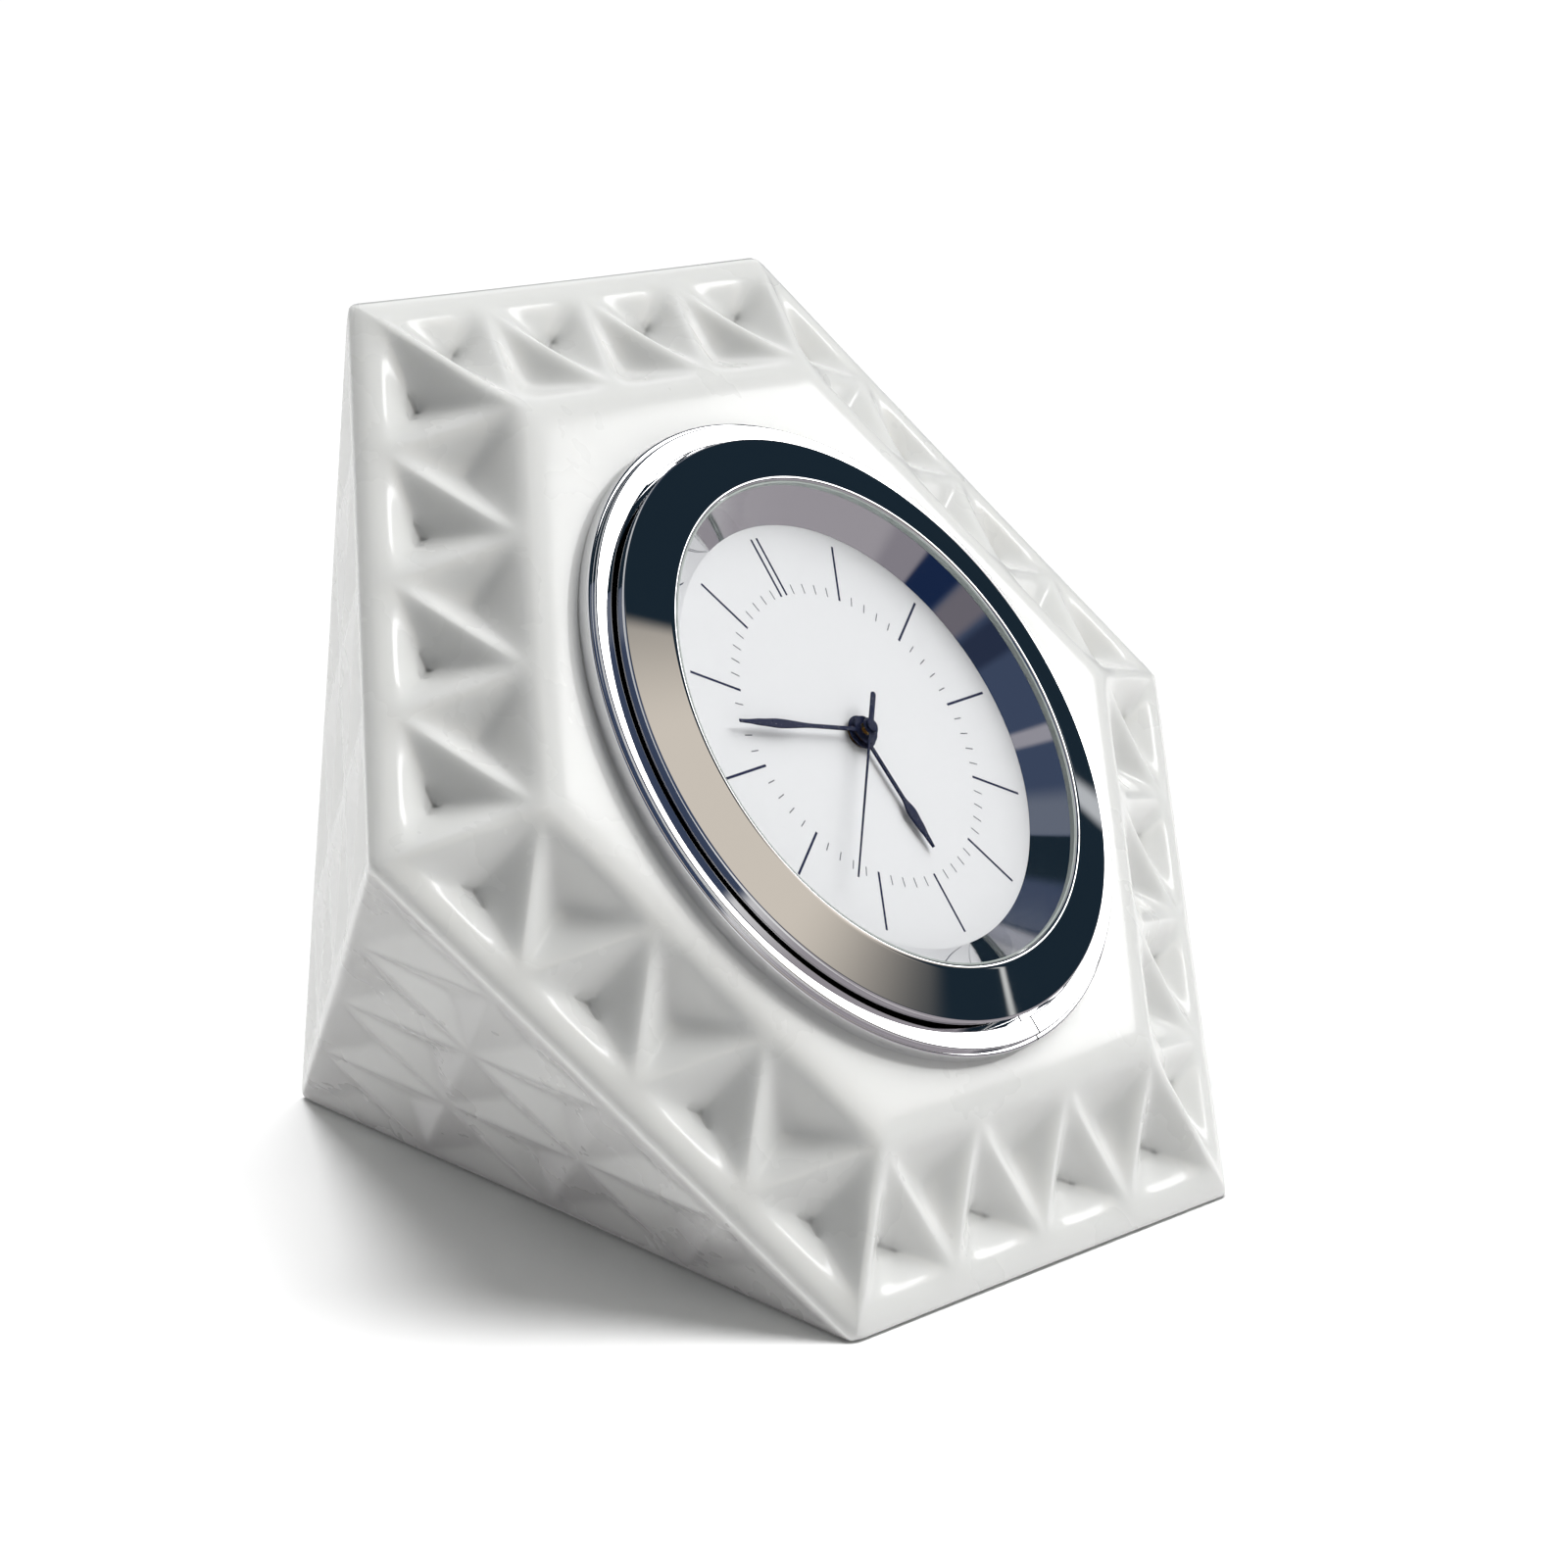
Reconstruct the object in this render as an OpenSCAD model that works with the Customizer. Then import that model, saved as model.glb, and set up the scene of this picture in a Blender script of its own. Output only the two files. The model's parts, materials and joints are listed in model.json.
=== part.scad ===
// Mantel clock: a hollow faceted porcelain pyramid lying on one of its sides, with a round
// quartz clock insert pressed into the hexagonal front face.
// All lengths are in millimetres. +Z is up and the dial looks towards -Y.

/* [Porcelain body] */
// Centre to corner of the large hexagon where the front bevel meets the sides
body_r = 67.5; // [64:0.5:70]
// Height of the hexagonal pyramid, from the large hexagon to its tip at the back
body_h = 85.8; // [80:0.1:95]
// Centre to corner of the flat hexagonal front face
face_r = 47.5; // [46:0.5:50]
// Depth of the bevel between the large hexagon and the front face
bevel_depth = 6.7; // [5:0.1:8]
// Depth of the pressed pits on the front bevel
bevel_pit = 3.2; // [1:0.1:3.5]
// Depth of the pressed pits on the side faces
side_pit = 1.4; // [0.5:0.1:2.5]
// Thickness of the porcelain wall under the side faces
wall = 6.5; // [5:0.5:8]

/* [Clock insert] */
// Outside radius of the bright flange ring that covers the socket edge
flange_r = 36.5; // [36:0.1:38]
// Radius of the socket bored through the front wall
socket_r = 31.5; // [31.2:0.1:32]
// How far the insert is turned anticlockwise from the hexagon, in degrees
insert_turn = 3.1; // [0:0.1:6]
// How far the socket sits below the centre of the hexagon
insert_drop = 0.8; // [0:0.1:1.5]
// Visible radius of the dial
dial_r = 24.45; // [23:0.05:25]
// Height of the dial above the porcelain face
dial_rise = 1.5; // [1.3:0.1:1.6]

/* [Time shown] */
// Hours and minutes as one number of hours
shown_hours = 5.793; // [0:0.001:12]
// Seconds
shown_seconds = 37.4; // [0:0.1:60]

/* [Hidden] */
$fn = 96;
eps = 0.01;

// ---- Body geometry ----
SIDES = 6;
SEG = 4;                                  // pits along one outer edge
body_inr = body_r * cos(30);              // centre to flat of the large hexagon
lean = atan(body_inr / body_h);           // backward lean that lays one side face on the table
depth = body_inr / sin(lean);             // front foot to tip, along the table
cavity_front = -3.5;                      // front wall of the hollow, measured from the large hexagon
inset = wall / cos(lean);                 // wall measured square to the axis

// ---- Levels of the insert, measured outwards from the dial surface ----
dial_z = bevel_depth + dial_rise;
flange_seat = -dial_rise;
flange_floor = -0.6;
bezel_r = 33.6;
lip_r = 28.2;
lip_z = 3.75;
cone_z = 2.2;
glass_r = 27.5;
glass_low = 2.4;
glass_top = 3.5;
cup_r = 29.6;
cup_bore = 28.3;
cup_back = -13.4;
cover_back = -14.6;
holder_back = -3.0;
dial_back = -0.5;

// ---- Levels of the movement ----
front_plate = [-2.0, -1.0];
bridge = [-4.8, -4.2];
back_floor = [-10.4, -9.4];
hour_level = [-2.9, -2.3];
minute_level = [-3.8, -3.3];
centre_level = [-5.6, -5.1];
third_level = [-6.7, -6.2];
second_level = [-7.8, -7.3];
intermediate_level = [-8.8, -8.3];
stator_level = [-7.4, -6.8];
core_level = [-7.9, -7.4];
board_level = [-6.9, -6.3];
cell_level = [-12.9, -7.5];
second_arbor_top = 2.1;
play = 0.05;                              // radial running clearance of every pivot

// ---- Gear train: teeth and modules ----
// Running train: the rotor makes 30 turns a minute and the second wheel one.
rotor_teeth = 6;
intermediate_teeth = [36, 8];
second_teeth = [40, 8];
third_teeth = [60, 8];
centre_teeth = 64;
// Motion work: twelve turns of the cannon pinion to one of the hour wheel.
cannon_teeth = 10;
minute_teeth = [30, 10];
hour_teeth = 40;
knob_teeth = 12;
m_rotor = 0.20;
m_second = 0.25;
m_third = 0.18;
m_centre = 0.17;
m_cannon = 0.25;
m_hour = 0.20;

// ---- Places of the arbors around the centre, [x, y] seen from the front ----
function polar(r, a) = [r * cos(a), r * sin(a)];
third_dir = 200;
intermediate_dir = -30;
rotor_dir = -60;
minute_dir = 90;
knob_dir = 30;
third_at = polar((third_teeth[0] + second_teeth[1]) * m_third / 2, third_dir);
intermediate_at = polar((second_teeth[0] + intermediate_teeth[1]) * m_second / 2, intermediate_dir);
rotor_at = intermediate_at + polar((intermediate_teeth[0] + rotor_teeth) * m_rotor / 2, rotor_dir);
minute_at = polar((cannon_teeth + minute_teeth[0]) * m_cannon / 2, minute_dir);
knob_at = minute_at + polar((minute_teeth[0] + knob_teeth) * m_cannon / 2, knob_dir);
cell_at = [-9.5, 9.0];
cell_r = 5.8;
case_half = 18;                           // half the width of the square movement case
pillar_at = 14.8;
magnet_r = 1.6;
core_y = -13.5;
core_x = [-9.5, 12.5];
hatch_r = 6.5;
hatch_lug_turn = 45;

// A tooth of gear b stands in a gap of gear a when b is turned to this angle.
function meshed(dir, teeth_a, turn_a, teeth_b) =
    dir + 180 + 180 / teeth_b - (turn_a - dir) * teeth_a / teeth_b;

minute_wheel_turn = meshed(minute_dir, cannon_teeth, minute_dir, minute_teeth[0]);
knob_turn = meshed(knob_dir, minute_teeth[0], minute_wheel_turn, knob_teeth);
hour_wheel_turn = meshed(minute_dir + 180, minute_teeth[1], minute_dir + 180, hour_teeth);

// ---- Frames ----
// The face frame has its origin at the centre of the large hexagon, +Z out of the dial.
module on_face() {
    translate([0, -depth / 2, 0])
        rotate([90 - lean, 0, 0])
            translate([0, body_inr, 0])
                children();
}

// The insert frame has its origin at the centre of the dial surface, +Y towards twelve.
module on_insert() {
    on_face()
        translate([0, -insert_drop, dial_z])
            rotate([0, 0, insert_turn])
                children();
}

module at(place, z = 0) {
    translate([place[0], place[1], z])
        children();
}

function grown(level, by) = [level[0] - by, level[1] + by];

module slab(level) {
    translate([0, 0, level[0]])
        linear_extrude(level[1] - level[0])
            children();
}

module rod(level, r) {
    translate([0, 0, level[0]])
        cylinder(h = level[1] - level[0], r = r);
}

module ring(level, r_in, r_out) {
    difference() {
        rod(level, r_out);
        rod([level[0] - 1, level[1] + 1], r_in);
    }
}

// ---- Porcelain body ----
// Ring 0 is the edge of the front face, ring 1 the large hexagon, and rings 2 to 4 are
// the rows of the side lattice, each with one segment fewer, up to the tip.
FACE_SEG = 3;
RING_SEG = [FACE_SEG, 4, 3, 2, 1];
RING_START = [0, 18, 42, 60, 72];
TIP = 78;
function hex_corner(s, r) = [r * cos(240 + 60 * s), r * sin(240 + 60 * s)];
function ring_r(i) = i == 0 ? face_r : body_r * (1 - (i - 1) / SEG);
function ring_z(i) = i == 0 ? bevel_depth : -body_h * (i - 1) / SEG;
function side_point(s, t, i) =
    let (p = hex_corner(s, ring_r(i)) * (1 - t) + hex_corner(s + 1, ring_r(i)) * t)
    [p[0], p[1], ring_z(i)];
function ring_id(i, s, k) =
    i == 5 ? TIP : RING_START[i] + (s * RING_SEG[i] + k) % (SIDES * RING_SEG[i]);
lattice = concat(
    [for (i = [0:4]) for (s = [0:SIDES - 1]) for (k = [0:RING_SEG[i] - 1]) side_point(s, k / RING_SEG[i], i)],
    [[0, 0, -body_h]]
);

// A cell is three corners, anticlockwise seen from outside. Side 0 is the flat underside.
bevel_cells = concat(
    [for (s = [0:SIDES - 1]) for (k = [0:3])
        [ring_id(1, s, k), ring_id(1, s, k + 1), ring_id(0, s, k)]],
    [for (s = [0:SIDES - 1]) for (k = [0:2])
        [ring_id(0, s, k + 1), ring_id(0, s, k), ring_id(1, s, k + 1)]]
);
function side_cells(s) = concat(
    [for (i = [1:SEG]) for (k = [0:SEG - i])
        [ring_id(i, s, k + 1), ring_id(i, s, k), ring_id(i + 1, s, k)]],
    [for (i = [1:SEG - 1]) for (k = [0:SEG - 1 - i])
        [ring_id(i + 1, s, k), ring_id(i + 1, s, k + 1), ring_id(i, s, k + 1)]]
);
pitted_sides = [for (s = [1:SIDES - 1]) each side_cells(s)];
cells = concat(bevel_cells, pitted_sides);

function pit_centre(c, pit) =
    let (a = lattice[c[0]], b = lattice[c[1]], d = lattice[c[2]], n = cross(b - a, d - a))
    (a + b + d) / 3 - n / norm(n) * pit;
pit_centres = concat(
    [for (c = bevel_cells) pit_centre(c, bevel_pit)],
    [for (c = pitted_sides) pit_centre(c, side_pit)]
);
face_centre = len(lattice) + len(cells);
face_points = SIDES * FACE_SEG;
front_facets = [for (k = [0:face_points - 1]) [(k + 1) % face_points, k, face_centre]];
underside_facets = [for (c = side_cells(0)) [c[1], c[0], c[2]]];
pit_facets = [
    for (n = [0:len(cells) - 1])
        for (e = [0:2])
            [cells[n][(e + 1) % 3], cells[n][e], len(lattice) + n]
];

module outer_form() {
    polyhedron(
        concat(lattice, pit_centres, [[0, 0, bevel_depth]]),
        concat(front_facets, underside_facets, pit_facets)
    );
}

module hollow() {
    tip_z = -body_h * (1 - inset / body_inr);
    hollow_inr = body_inr * (1 + cavity_front / body_h) - inset;
    translate([0, 0, tip_z])
        cylinder(h = cavity_front - tip_z, r1 = 0, r2 = hollow_inr / cos(30), $fn = SIDES);
}

module porcelain_body() {
    color("whitesmoke")
        on_face()
            difference() {
                outer_form();
                hollow();
                at([0, -insert_drop])
                    rod([cavity_front - 1, bevel_depth + 1], socket_r);
            }
}

// ---- Bright metal front of the insert ----
module turned(profile) {
    rotate_extrude()
        polygon(profile);
}

module flange_ring() {
    step = 0.5;                           // width of the low step round the edge
    step_z = 0.15;
    flat_z = 0.75;
    edge = 0.15;                          // chamfer between the flat and the step
    bore = bezel_r + 0.1;
    slit = 0.28;                          // where the rolled ring closes, beside six
    slit_turn = 3.4;
    spare = 1;                            // how far the slit is cut past the ring
    color("silver")
        on_insert()
            difference() {
                turned([
                    [cup_r + eps, flange_seat], [flange_r, flange_seat], [flange_r, step_z],
                    [flange_r - step, step_z], [flange_r - step, flat_z - edge],
                    [flange_r - step - edge, flat_z], [bore, flat_z],
                    [bore, flange_floor], [cup_r + eps, flange_floor]
                ]);
                rotate([0, 0, 270 + slit_turn])
                    translate([cup_r - spare, -slit / 2, flange_seat - spare])
                        cube([flange_r - cup_r + 2 * spare, slit, flat_z - flange_seat + 2 * spare]);
            }
}

module bezel() {
    color("lightsteelblue")
        on_insert()
            turned([
                [cup_bore, flange_floor], [bezel_r, flange_floor], [bezel_r, cone_z - 0.3],
                [bezel_r - 0.3, cone_z], [lip_r, lip_z], [lip_r - 0.4, lip_z],
                [lip_r - 0.4, glass_low], [cup_bore, glass_low]
            ]);
}

// Polished wall that slopes from the dial up to the glass.
module inner_bezel() {
    color("silver")
        on_insert()
            turned([[dial_r, 0], [cup_bore - 0.1, 0], [cup_bore - 0.1, glass_low], [27.2, glass_low]]);
}

module glass() {
    color("azure", 0.3)
        on_insert()
            rod([glass_low, glass_top], glass_r);
}

module glass_gasket() {
    color("gainsboro")
        on_insert()
            ring([glass_low, glass_top - 0.1], glass_r, lip_r - 0.4);
}

module dial() {
    color("white")
        on_insert()
            ring([dial_back, 0], 1.6, cup_bore - 0.1);
}

// ---- Hands: each points to +Y and is turned clockwise to its time ----
shown_minutes = (shown_hours - floor(shown_hours)) * 60;
module pointing(angle) {
    on_insert()
        rotate([0, 0, -angle])
            children();
}

// A hand is a thin blade that meets the slightly thicker ring round its arbor.
module blade(level) {
    slab(grown(level, -0.02))
        children();
}

// A slim shaft that swells into a long leaf and ends in a small blunt tip.
module leaf_hand(level, length, leaf_start, leaf_widest, shaft_w, leaf_w, tip_w, hub_r, bore_r) {
    taper = length - leaf_widest;
    start = (hub_r + bore_r) / 2;
    half_outline = [
        [shaft_w / 2, start], [shaft_w / 2, leaf_start], [leaf_w / 2, leaf_widest],
        [leaf_w / 2 * 0.88, leaf_widest + taper * 0.35], [tip_w * 0.7, leaf_widest + taper * 0.75],
        [tip_w / 2, length]
    ];
    last = len(half_outline) - 1;
    ring(level, bore_r, hub_r);
    blade(level)
        polygon(concat(
            half_outline,
            [for (i = [last:-1:0]) [-half_outline[i][0], half_outline[i][1]]]
        ));
}

module hour_hand() {
    color("midnightblue")
        pointing(shown_hours * 30)
            leaf_hand([0.42, 0.62], 14.0, 8.6, 9.7, 0.55, 1.5, 0.42, 1.9, 1.2);
}

module minute_hand() {
    color("midnightblue")
        pointing(shown_minutes * 6)
            leaf_hand([0.98, 1.18], 18.8, 8.6, 13.0, 0.48, 1.06, 0.36, 1.6, 0.75);
}

// Thin needle with a short round-ended counterweight and a stepped cap over its arbor.
module second_hand() {
    level = [1.77, 1.93];
    length = 20.0;
    tail = 4.7;
    tail_w = 0.68;
    bore_r = 0.35;
    color("midnightblue")
        pointing(shown_seconds * 6) {
            ring(level, bore_r, 1.0);
            ring([level[1] - 0.05, second_arbor_top], bore_r, 0.75);
            blade(level)
                polygon([[-0.15, 0.6], [-0.11, length], [0.11, length], [0.15, 0.6]]);
            blade(level)
                translate([-tail_w / 2, tail_w / 2 - tail])
                    square([tail_w, tail - tail_w / 2 - 0.6]);
            translate([0, tail_w / 2 - tail, 0])
                rod(grown(level, -0.03), tail_w / 2);
        }
}

// ---- Case of the insert ----
boss_at = [for (a = [0, 120, 240]) polar(26.6, a)];
module case_cup() {
    color("dimgray")
        on_insert() {
            difference() {
                rod([cup_back, flange_floor], cup_r);
                rod([holder_back, 1], cup_bore);
                rod([cup_back - 1, holder_back + 1], cup_bore - 0.4);
                ring([-10.5, -2.5], cup_r - 0.6, cup_r + 1);
            }
            for (p = boss_at)
                at(p)
                    ring([cup_back, holder_back - 0.5], 0.6, 1.6);
        }
}

// Rubber sleeve with three ribs that grip the wall of the socket.
module grip_ring() {
    seat = cup_r - 0.6;
    rib = socket_r - 0.1;
    color("black")
        on_insert()
            turned(concat(
                [[seat, -10.5]],
                [for (z = [-9.5, -7.0, -4.5])
                    each [[seat + 0.8, z - 0.9], [rib, z - 0.3], [rib, z + 0.3], [seat + 0.8, z + 0.9]]],
                [[seat, -2.5]]
            ));
}

module movement_holder() {
    color("ivory")
        on_insert()
            difference() {
                rod([holder_back, dial_back], cup_bore - 0.05);
                slab([holder_back - 1, 1])
                    square(2 * case_half + 0.1, center = true);
            }
}

module hatch_outline(r) {
    circle(r = r);
    square([2 * (r + 0.9), 3.0], center = true);
}

module rear_cover() {
    color("gray")
        on_insert()
            difference() {
                rod([cover_back, cup_back], cup_r);
                at(cell_at)
                    slab([cover_back - 1, cup_back + 1])
                        hatch_outline(hatch_r + 0.1);
                at(knob_at)
                    rod([cover_back - 1, cup_back + 1], 1.2);
                for (p = boss_at)
                    at(p) {
                        rod([cover_back - 1, cup_back + 1], 0.65);
                        rod([cover_back - 1, cover_back + 0.7], 1.3);
                    }
            }
}

module rear_cover_screws() {
    color("silver")
        on_insert()
            for (p = boss_at)
                at(p)
                    difference() {
                        union() {
                            rod([cover_back + 0.05, cover_back + 0.7], 1.2);
                            rod([cover_back + 0.5, -5], 0.55);
                        }
                        slab([cover_back - 1, cover_back + 0.35])
                            square([2, 0.35], center = true);
                    }
}

// Coin-slot lid over the cell. Its two lugs stand across the notches when it is closed.
module battery_hatch() {
    color("darkgray")
        on_insert()
            at(cell_at)
                difference() {
                    union() {
                        rod([cover_back - 0.4, cup_back + 0.1], hatch_r);
                        rotate([0, 0, hatch_lug_turn])
                            slab([cup_back + 0.05, cup_back + 0.4])
                                intersection() {
                                    hatch_outline(hatch_r - 0.1);
                                    circle(r = hatch_r + 0.75);
                                }
                    }
                    slab([cover_back - 1, cover_back + 0.3])
                        square([1.4, 9], center = true);
                }
}

// ---- Movement case ----
pillars = [for (x = [-1, 1]) for (y = [-1, 1]) [x * pillar_at, y * pillar_at]];
module plate_outline(half, corner) {
    translate([-half + corner, -half])
        square([2 * (half - corner), 2 * half]);
    translate([-half, -half + corner])
        square([2 * half, 2 * (half - corner)]);
    for (x = [-1, 1])
        for (y = [-1, 1])
            translate([x * (half - corner), y * (half - corner)])
                circle(r = corner, $fn = 32);
}

module movement_front_plate() {
    color("ivory")
        on_insert()
            difference() {
                slab(front_plate)
                    plate_outline(case_half, 2);
                rod([-3, 0], 1.2 + play);
                at(minute_at)
                    rod([-3, 0], 0.4 + play);
                at(knob_at)
                    rod([-3, 0], 0.4 + play);
                for (p = pillars)
                    at(p)
                        rod([front_plate[0] - 1, front_plate[0] + 0.6], 0.45);
            }
}

module train_bridge() {
    color("wheat")
        on_insert()
            difference() {
                slab(bridge)
                    plate_outline(case_half - 1.2, 2);
                rod([-6, 0], 0.75 + play);
                for (p = [minute_at, third_at, intermediate_at, rotor_at])
                    at(p)
                        rod([-6, 0], 0.2 + play);
                at(knob_at)
                    rod([-6, 0], 1.0);
                for (p = pillars)
                    at(p)
                        rod([-6, 0], 0.5);
            }
}

module movement_back_case() {
    floor_top = back_floor[1];
    color("ivory")
        on_insert()
            difference() {
                union() {
                    slab([back_floor[0], front_plate[0]])
                        difference() {
                            plate_outline(case_half, 2);
                            plate_outline(case_half - 1, 1);
                        }
                    slab(back_floor)
                        plate_outline(case_half, 2);
                    for (p = pillars)
                        at(p)
                            rod([floor_top, bridge[0]], 1.3);
                    at(cell_at)
                        rod([cell_level[0], floor_top], cell_r + 1.1);
                }
                at(cell_at)
                    rod([cell_level[0] - 1, floor_top + 1], cell_r + 0.5);
                for (p = [[0, 0], third_at, intermediate_at, rotor_at])
                    at(p)
                        rod([back_floor[0] - 1, floor_top + 1], 0.2 + play);
                at(knob_at)
                    rod([back_floor[0] - 1, floor_top + 1], 0.8 + play);
                for (p = pillars)
                    at(p)
                        rod([back_floor[0] - 1, bridge[0] + 1], 0.5);
            }
}

module movement_screws() {
    color("silver")
        on_insert()
            for (p = pillars)
                at(p)
                    difference() {
                        union() {
                            rod([back_floor[0] - 0.5, back_floor[0]], 0.8);
                            rod([back_floor[0] - 0.1, front_plate[0] + 0.6], 0.45);
                        }
                        slab([back_floor[0] - 1, back_floor[0] - 0.25])
                            square([1.3, 0.3], center = true);
                    }
}

// ---- Gears ----
// Spur gear outline with slim straight-sided teeth. One tooth is centred on the angle turn.
module gear_outline(teeth, m, turn) {
    pitch = 360 / teeth;
    root_r = teeth * m / 2 - 1.1 * m;
    tip_r = teeth * m / 2 + 0.8 * m;
    root_half = 0.25 * pitch;
    tip_half = 0.08 * pitch;
    polygon([
        for (i = [0:teeth - 1])
            each [
                polar(root_r, turn + i * pitch - root_half), polar(tip_r, turn + i * pitch - tip_half),
                polar(tip_r, turn + i * pitch + tip_half), polar(root_r, turn + i * pitch + root_half)
            ]
    ]);
}

module gear(level, teeth, m, turn) {
    slab(level)
        gear_outline(teeth, m, turn);
}

module hour_wheel() {
    color("gold")
        on_insert()
            difference() {
                union() {
                    gear(hour_level, hour_teeth, m_hour, hour_wheel_turn);
                    rod([hour_level[0], 0.62], 1.2);
                }
                rod([-4, 2], 0.75 + play);
            }
}

module cannon_pinion() {
    color("goldenrod")
        on_insert()
            difference() {
                union() {
                    gear(grown(minute_level, 0.05), cannon_teeth, m_cannon, minute_dir);
                    rod([centre_level[0] - 0.1, 1.18], 0.75);
                }
                rod([-7, 3], 0.35 + play);
            }
}

module minute_wheel() {
    color("gold")
        on_insert()
            at(minute_at) {
                gear(minute_level, minute_teeth[0], m_cannon, minute_wheel_turn);
                gear([minute_level[1], hour_level[1] + 0.05], minute_teeth[1], m_hour, minute_dir + 180);
                rod([front_plate[0] - 0.1, front_plate[1] - 0.2], 0.4);
                rod([hour_level[1], front_plate[0] - 0.05], 0.6);
                rod([bridge[0] + 0.1, minute_level[0]], 0.2);
            }
}

module centre_wheel() {
    color("gold")
        on_insert()
            difference() {
                union() {
                    gear(centre_level, centre_teeth, m_centre, third_dir);
                    rod(grown(centre_level, 0.15), 1.6);
                }
                rod([-7, -4], 0.75 + play);
            }
}

module third_wheel() {
    color("gold")
        on_insert()
            at(third_at) {
                gear(third_level, third_teeth[0], m_third, third_dir + 180 + 180 / third_teeth[0]);
                gear([third_level[1], centre_level[1] + 0.05], third_teeth[1], m_centre,
                    third_dir + 180 + 180 / third_teeth[1]);
                rod([back_floor[1] + 0.05, bridge[0] - 0.05], 0.4);
                rod([back_floor[0] + 0.1, bridge[1] - 0.1], 0.2);
            }
}

// The second arbor runs through the cannon pinion and carries the second hand.
module second_wheel() {
    color("gold")
        on_insert() {
            gear(second_level, second_teeth[0], m_second, intermediate_dir);
            gear([second_level[1], third_level[1] + 0.05], second_teeth[1], m_third, third_dir);
            rod([back_floor[1] + 0.05, second_arbor_top], 0.35);
            rod([back_floor[0] + 0.1, back_floor[1] + 0.1], 0.2);
        }
}

module intermediate_wheel() {
    color("white")
        on_insert()
            at(intermediate_at) {
                gear(intermediate_level, intermediate_teeth[0], m_rotor, rotor_dir);
                gear([intermediate_level[1], second_level[1] + 0.05], intermediate_teeth[1], m_second,
                    intermediate_dir + 180 + 180 / intermediate_teeth[1]);
                rod([back_floor[1] + 0.05, bridge[0] - 0.05], 0.25);
                rod([back_floor[0] + 0.1, bridge[1] - 0.1], 0.2);
            }
}

module rotor() {
    color("dimgray")
        on_insert()
            at(rotor_at) {
                gear([back_floor[1] + 0.3, core_level[0]], rotor_teeth, m_rotor,
                    rotor_dir + 180 + 180 / rotor_teeth);
                rod([core_level[0], stator_level[1] + 0.5], magnet_r);
                rod([stator_level[1] + 0.4, bridge[0] - 0.05], 0.4);
                rod([back_floor[0] + 0.1, bridge[1] - 0.1], 0.2);
            }
}

// ---- Motor and electronics ----
// One pole shoe round the rotor, with two arms that go round the ends of the coil to its core.
module stator() {
    arm_w = 2.4;
    arm_top = core_y + 4.6;
    seat_low = core_y - 1.2;
    color("slategray")
        on_insert()
            difference() {
                union() {
                    at(rotor_at)
                        rod(stator_level, 2.6);
                    slab(grown(stator_level, -0.02)) {
                        translate([core_x[0], arm_top - 1.6])
                            square([core_x[1] - core_x[0], 1.6]);
                        for (x = [core_x[0], core_x[1] - arm_w])
                            translate([x, seat_low])
                                square([arm_w, arm_top - seat_low]);
                    }
                }
                at(rotor_at)
                    rod(grown(stator_level, 1), magnet_r + 0.3);
            }
}

module coil_core() {
    color("slategray")
        on_insert()
            translate([core_x[0], core_y - 1, core_level[0]])
                cube([core_x[1] - core_x[0], 2, core_level[1] - core_level[0]]);
}

winding_x = [core_x[0] + 4, core_x[1] - 4];
winding_z = (core_level[0] + core_level[1]) / 2;
module along_core(x0, x1) {
    translate([x0, core_y, winding_z])
        rotate([0, 90, 0])
            linear_extrude(x1 - x0)
                children();
}

module core_slot() {
    square([core_level[1] - core_level[0], 2], center = true);
}

module coil_bobbin() {
    flange = 0.5;
    color("orange")
        on_insert() {
            along_core(winding_x[0], winding_x[1])
                difference() {
                    circle(r = 1.25);
                    core_slot();
                }
            for (x = [winding_x[0] - flange, winding_x[1]])
                along_core(x, x + flange)
                    difference() {
                        circle(r = 1.7);
                        core_slot();
                    }
        }
}

module coil_winding() {
    color("peru")
        on_insert()
            along_core(winding_x[0], winding_x[1])
                difference() {
                    circle(r = 1.65);
                    circle(r = 1.25);
                }
}

board_low = [-13, 6.6];
board_high = [2.4, 16.4];
module circuit_board() {
    color("darkgreen")
        on_insert()
            translate([board_low[0], board_low[1], board_level[0]])
                cube([board_high[0] - board_low[0], board_high[1] - board_low[1],
                    board_level[1] - board_level[0]]);
}

module quartz_crystal() {
    can_r = 0.7;
    color("silver")
        on_insert()
            translate([-11.5, 15, board_level[1] + can_r])
                rotate([0, 90, 0])
                    cylinder(h = 6, r = can_r);
}

module chip_cover() {
    color("black")
        on_insert()
            translate([-1.6, 10.5, board_level[1]])
                cylinder(h = 0.9, r1 = 2.4, r2 = 1.5);
}

module button_cell() {
    color("silver")
        on_insert()
            at(cell_at) {
                rod([cell_level[0], cell_level[1] - 0.5], cell_r);
                rod([cell_level[1] - 0.6, cell_level[1]], cell_r - 1.2);
            }
}

module contact_negative() {
    color("gold")
        on_insert()
            translate([cell_at[0] - 1, cell_at[1] - 1.2, 0])
                slab([cell_level[1], board_level[0]])
                    square([5, 2.4]);
}

module contact_positive() {
    color("gold")
        on_insert()
            translate([cell_at[0] - 1.2, cell_at[1] + cell_r, 0])
                slab([cell_level[0] + 1.5, board_level[0]])
                    square([2.4, 0.3]);
}

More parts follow.
